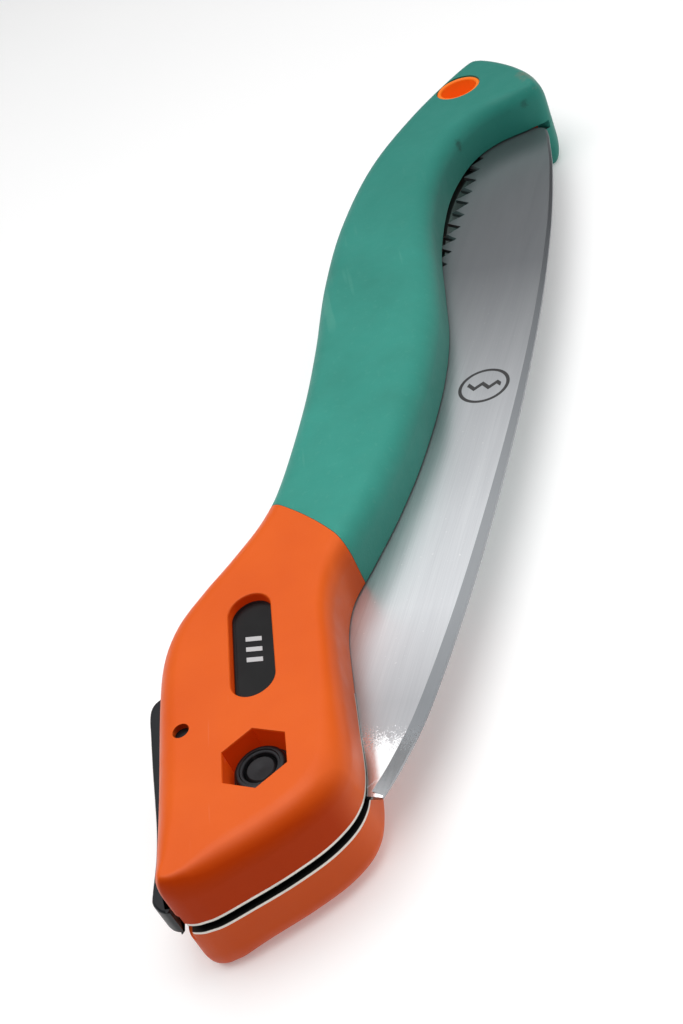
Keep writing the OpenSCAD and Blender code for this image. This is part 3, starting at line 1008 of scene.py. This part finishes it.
def make_lever():
    """The lever's cap, with the web, hub and lock tooth that work inside the slot."""
    cap = softened("lever_cap", lever_cap_plan(), 3.0, 0.55)
    tip = TANG_R + 0.15
    tooth = turned([
        (tip + 0.12, -1.9), (20.3, -1.9), (20.3, 1.9), (tip + 0.12, 1.9), (tip, 0),
    ], math.radians(99))
    arm = [
        (-2.5, 16.5), (1, 15.3), (4.5, 15.1), (9.4, 15.1), (12.8, 10.4), (18, 13.6),
        (24, 14.4), (27, 17), (27.5, 20), (-4.9, 20.4), (-4.7, 18),
    ]
    web = 0.7
    boolean(cap, prism("arm", arm, -web, web), "UNION")
    boolean(cap, prism("hub", circle(LEVER_PIN.xy, HUB_R, 64), -web, web), "UNION")
    boolean(cap, prism("tooth", tooth, -web, web), "UNION")
    boolean(cap, prism("pin", circle(LEVER_PIN.xy, PIN_HOLE_R, 48), -4, 4))
    return cap


# ---------------------------------------------------------------- hardware

def chamfered_hexagon(name, flats, z0, z1, chamfer):
    """Hexagonal prism turned down at both ends, as a nut or a bolt head is."""
    body = prism(name, hexagon(flats), z0, z1)
    corner = flats / math.sqrt(3)
    profile = [
        (0.001, z0 - 0.2), (flats / 2 - 0.1, z0 - 0.2), (corner + 0.05, z0 + chamfer),
        (corner + 0.05, z1 - chamfer), (flats / 2 - 0.1, z1 + 0.2), (0.001, z1 + 0.2),
    ]
    envelope = lathe("turned", (0, 0), profile, 96, ring_shaped=False)
    return boolean(body, envelope, "INTERSECT")


def round_profile(r_in, r_out, z0, z1, soft):
    """Closed ring profile with chamfered corners, for lathe()."""
    return [
        (r_in, z0 + soft), (r_in + soft, z0), (r_out - soft, z0), (r_out, z0 + soft),
        (r_out, z1 - soft), (r_out - soft, z1), (r_in + soft, z1), (r_in, z1 - soft),
    ]


def make_nut():
    """Lock nut: a hexagon below a round collar whose mouth holds the insert."""
    foot = POCKET_FLOOR + WASHER_T
    body = chamfered_hexagon("lock_nut", NUT_FLATS, foot, foot + 4.3, 0.9)
    collar = [
        (0.001, foot + 1), (4.6, foot + 1), (4.6, foot + 5.2), (4.5, foot + 5.6),
        (4.25, foot + 5.9), (3.95, foot + 6), (0.001, foot + 6),
    ]
    boolean(body, lathe("collar", (0, 0), collar, 96, ring_shaped=False), "UNION")
    boolean(body, prism("thread", circle((0, 0), BOLT_R + 0.02, 96), foot - 1, foot + 7))
    boolean(body, prism("seat", circle((0, 0), 3.9, 96), foot + 4.6, foot + 5.7))
    lip = [
        (0.001, foot + 5.6), (3.45, foot + 5.6), (3.45, foot + 5.8), (3.75, foot + 6.2),
        (0.001, foot + 6.2),
    ]
    boolean(body, lathe("lip", (0, 0), lip, 96, ring_shaped=False))
    return body


def make_bolt():
    """Hexagon head, plain shank, a turned thread from the nut up, and a domed end."""
    under = -POCKET_FLOOR - WASHER_T
    head = chamfered_hexagon("pivot_bolt_body", NUT_FLATS, under - 4, under, 0.9)
    end = POCKET_FLOOR + 6
    z = 2.5
    pitch = 1.0
    shank = [(0.001, under - 1), (BOLT_R, under - 1), (BOLT_R, z)]
    while z < end - 1.4:
        shank += [(BOLT_R, z), (2.72, z + pitch * 0.5)]
        z += pitch
    shank += [(BOLT_R, z), (2.95, end - 0.75), (2.5, end - 0.15), (2.3, end), (1.2, end - 0.03),
              (0.5, end - 0.1), (0.001, end - 0.12)]
    return boolean(head, lathe("shank", (0, 0), shank, 72, ring_shaped=False), "UNION")


def make_eyelet():
    top = HALF_T - 0.2
    outer, inner = 5.97, 4.8
    lip = []
    for k in range(7):
        turn = math.pi * k / 6
        middle, half = (outer + inner) / 2, (outer - inner) / 2
        lip.append((middle + half * math.cos(turn), top - half * (1 - math.sin(turn))))
    profile = lip + [(r, -z) for r, z in reversed(lip)]
    return lathe("hang_eyelet_ring", HANG.xy, profile, 128)


def make_badge(name):
    plate = loft(name, [
        ring(window_plan(0.1), HALF_T - WINDOW_DEPTH),
        ring(window_plan(0.1), HALF_T - WINDOW_DEPTH + 0.85),
        ring(window_plan(0.25), HALF_T - WINDOW_DEPTH + 1.0),
    ])
    recess = prism("recess", window_plan(0.75), HALF_T - WINDOW_DEPTH + 0.93, HALF_T)
    return boolean(plate, recess)


def make_badge_mark(name):
    """Three plain slanted bars, a print a few hundredths of a millimetre thick."""
    z = HALF_T - WINDOW_DEPTH + 0.93
    x, y = WINDOW_AT
    bars = []
    for k in range(3):
        left = x - 3.6 + 2.6 * k
        shape = [(left, y - 1.5), (left + 1.1, y - 1.5), (left + 2.1, y + 1.5), (left + 1.0, y + 1.5)]
        bars.append(prism("bar", shape, z - 0.01, z + 0.04))
    return joined(name, bars)


# ---------------------------------------------------------------- build

def pair(piece, material, slot, left_name, right_name, left_nodes, right_nodes):
    """Dresses a piece on the left side and its mirror image on the right."""
    twin = mirrored(piece, right_name)
    piece.name = left_name
    for obj, nodes in ((piece, left_nodes), (twin, right_nodes)):
        dress(obj, MATERIALS[material], "handle", slot, *nodes)
        shade(obj)


def build_handle():
    pair(make_shell(), "orange", "orange_shell", "shell_left", "shell_right",
         ["left_shell"], ["right_shell"])
    pair(make_grip(), "green", "green_grip", "grip_left", "grip_right",
         ["left_grip"], ["right_grip"])
    pair(make_liner("liner"), "liner", "liner_steel", "liner_left", "liner_right",
         ["left_liner"], ["right_liner"])
    pair(make_badge("badge"), "black", "badge_black", "badge_left", "badge_right",
         ["left_badge"], ["right_badge"])
    pair(make_badge_mark("mark"), "mark", "badge_black", "badge_print_left", "badge_print_right",
         [], [])


def build_hardware():
    nut = dress(make_nut(), MATERIALS["dark"], "handle", "dark_fastener", "pivot_nut")
    bolt = dress(make_bolt(), MATERIALS["dark"], "handle", "dark_fastener", "pivot_bolt")
    foot = POCKET_FLOOR
    insert = lathe("lock_insert", (0, 0), round_profile(BOLT_R + 0.02, 3.88, foot + 5.1, foot + 6.3, 0.12))
    dress(insert, MATERIALS["insert"], "handle", "nut_insert", "nut_insert")
    eyelet = dress(make_eyelet(), MATERIALS["eyelet"], "handle", "eyelet_orange", "hang_eyelet")
    for name, node, z0 in (("washer_top", "nut_washer", foot),
                           ("washer_bottom", "bolt_washer", -foot - WASHER_T)):
        profile = round_profile(BOLT_R + 0.05, WASHER_R, z0, z0 + WASHER_T, 0.08)
        washer = lathe(name, (0, 0), profile)
        dress(washer, MATERIALS["dark"], "handle", "dark_fastener", node)
        shade(washer)
    for obj in (nut, bolt, insert, eyelet):
        shade(obj)


def build_moving():
    blade = dress(make_blade(), MATERIALS["blade"], "blade", "blade_steel", "blade")
    shade(blade, 8)
    lever = dress(make_lever(), MATERIALS["lever"], "lever", "lever_black", "lock_lever")
    shade(lever)


def paint_kept_nodes():
    finishes = {
        "pivot_bush": "brass", "left_washer": "washer", "right_washer": "washer",
        "lever_pin": "black", "lever_spring": "spring",
    }
    for node_name, finish in finishes.items():
        mesh = frame["nodes"][node_name].data
        mesh.materials.clear()
        mesh.materials.append(MATERIALS[finish])


# ---------------------------------------------------------------- studio

CAMERA_AT = (-159.7, -60.7, 173.6)
CAMERA_RIGHT = (-0.08741, -0.93256, -0.35028)
CAMERA_FORWARD = (0.78703, 0.15091, -0.59817)
LENS = 51.33


def add_camera():
    data = bpy.data.cameras.new("camera")
    data.lens = LENS
    data.sensor_width = 36.0
    data.clip_start = 0.01
    data.clip_end = 20.0
    camera = bpy.data.objects.new("camera", data)
    SCENE.collection.objects.link(camera)
    right = Vector(CAMERA_RIGHT).normalized()
    back = -Vector(CAMERA_FORWARD).normalized()
    up = back.cross(right).normalized()
    right = up.cross(back)
    turn = Matrix((right, up, back)).transposed().to_4x4()
    camera.matrix_world = Matrix.Translation(place(*CAMERA_AT)) @ turn
    SCENE.camera = camera


def add_area(name, at, target, size, power):
    """Soft rectangular lamp that faces its target. Places are in millimetres about the pivot."""
    data = bpy.data.lights.new(name, "AREA")
    data.shape = "RECTANGLE"
    data.size, data.size_y = size
    data.energy = power
    lamp = bpy.data.objects.new(name, data)
    SCENE.collection.objects.link(lamp)
    start, end = place(*at), place(*target)
    lamp.location = start
    lamp.rotation_euler = (end - start).to_track_quat("-Z", "Y").to_euler()
    return lamp


def add_floor():
    """Pale table just below the saw. Its faint light stands for a table lit from underneath."""
    low, _ = cad_limits()
    reach = 2500
    corners = [(-reach, -reach), (reach, -reach), (reach, reach), (-reach, reach)]
    floor = mesh_object("floor", ring(corners, low.z - 0.02), [[0, 1, 2, 3]])
    material, tree, shader = blank("floor_white", specular=0.2)
    tone = noise(tree, object_point(tree), 6, 2)
    tree.links.new(mix(tree, tone, (0.84, 0.84, 0.84, 1), (0.82, 0.82, 0.82, 1)),
                   shader.inputs["Base Color"])
    shader.inputs["Emission Color"].default_value = (1, 1, 1, 1)
    shader.inputs["Emission Strength"].default_value = 0.24
    shader.inputs["Roughness"].default_value = 0.7
    floor.data.materials.append(material)


# Height of the direction, from 0 level to 1 straight up, and how bright the room is there.
SKY_STEPS = (
    (0.16, 0.3), (0.28, 0.04), (0.48, 0.04), (0.54, 0.12), (0.59, 0.8), (0.64, 1.4),
    (0.76, 1.4), (0.86, 0.5), (1.0, 0.45),
)


def add_world():
    """Room that the steel mirrors: dark low down, bright high up, and dim at the front."""
    world = bpy.data.worlds.new("studio")
    world.use_nodes = True
    tree = world.node_tree
    background = tree.nodes["Background"]
    direction = add(tree, "ShaderNodeTexCoord").outputs["Generated"]
    across, _, height = add(tree, "ShaderNodeSeparateXYZ", {0: direction}).outputs
    ramp = add(tree, "ShaderNodeValToRGB", {"Fac": height}).color_ramp
    ramp.elements.remove(ramp.elements[1])
    ramp.elements[0].position, ramp.elements[0].color = 0.0, (0.5, 0.5, 0.5, 1)
    for position, value in SKY_STEPS:
        element = ramp.elements.new(position)
        element.color = (value, value, value, 1)
    # The room is darker on the side that the front of the handle faces.
    side = remap(tree, across, -0.1, 0.4, 0.05, 1.0)
    strength = math_node(tree, "MULTIPLY", tree.nodes["Color Ramp"].outputs["Color"], side)
    tree.links.new(strength, background.inputs["Strength"])
    background.inputs["Color"].default_value = (1, 1, 1, 1)
    SCENE.world = world


def build_studio():
    add_camera()
    add_floor()
    add_world()
    add_area("key", (0, 80, 800), (90, -20, 0), (0.8, 0.8), 6.0)
    add_area("side", (60, -520, 330), (60, -20, 0), (0.5, 0.5), 0.7)
    SCENE.view_settings.view_transform = "Standard"
    SCENE.view_settings.look = "None"


build_handle()
build_hardware()
build_moving()
paint_kept_nodes()
build_studio()
